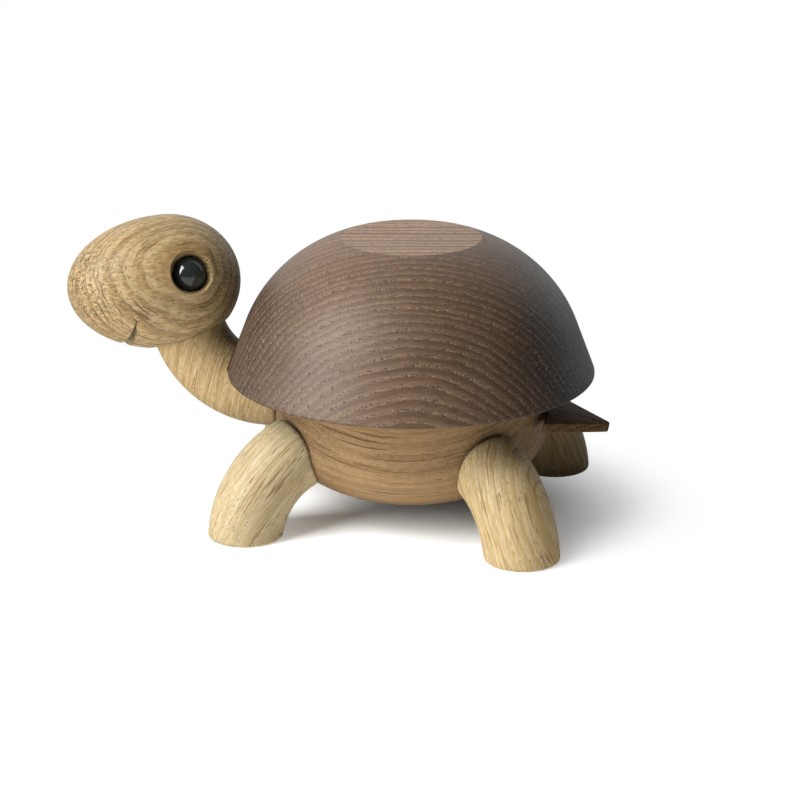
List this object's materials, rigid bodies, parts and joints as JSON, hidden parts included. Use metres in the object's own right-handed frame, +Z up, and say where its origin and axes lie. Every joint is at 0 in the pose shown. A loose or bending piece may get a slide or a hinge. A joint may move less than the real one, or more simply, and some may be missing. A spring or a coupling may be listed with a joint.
{
  "type": "turtle figurine",
  "caption": "Wooden turtle figurine: dark turned dome shell on a bowl-shaped body, elbow legs, flat tail, and an egg-shaped head that turns on the neck.",
  "frame": {"origin": "under the middle of the figure's overall box, on the floor that the feet stand on", "axes": "+X to the turtle's head end, +Y to the turtle's left, +Z up from the floor"},
  "size_m": [0.1628, 0.11, 0.0869],
  "materials": {
    "smoked_ash": "oiled, fine open pores",
    "smoked_tail": "oiled, fine open pores",
    "oak_body": "oiled, open pores",
    "oak_limb": "oiled, open pores",
    "oak_head": "oiled, open pores",
    "dowel_wood": "raw",
    "eye_black": "polished"
  },
  "bodies": {
    "base": {"shell": "smoked_ash", "body": "oak_body", "neck": "oak_limb", "tail": "smoked_tail", "head_pin": "dowel_wood", "neck_dowel": "dowel_wood", "leg_front_left": "oak_limb", "leg_dowel_front_left": "dowel_wood", "leg_front_right": "oak_limb", "leg_dowel_front_right": "dowel_wood", "leg_rear_left": "oak_limb", "leg_dowel_rear_left": "dowel_wood", "leg_rear_right": "oak_limb", "leg_dowel_rear_right": "dowel_wood"},
    "head": {"head": "oak_head", "eye_left": "eye_black", "eye_right": "eye_black"}
  },
  "joints": [
    {"name": "head_turn", "type": "hinge", "parent": "base", "child": "head", "pos_m": [0.04701, 0, 0.05147], "axis": [0.3239, 0, 0.9461], "continuous": true}
  ]
}
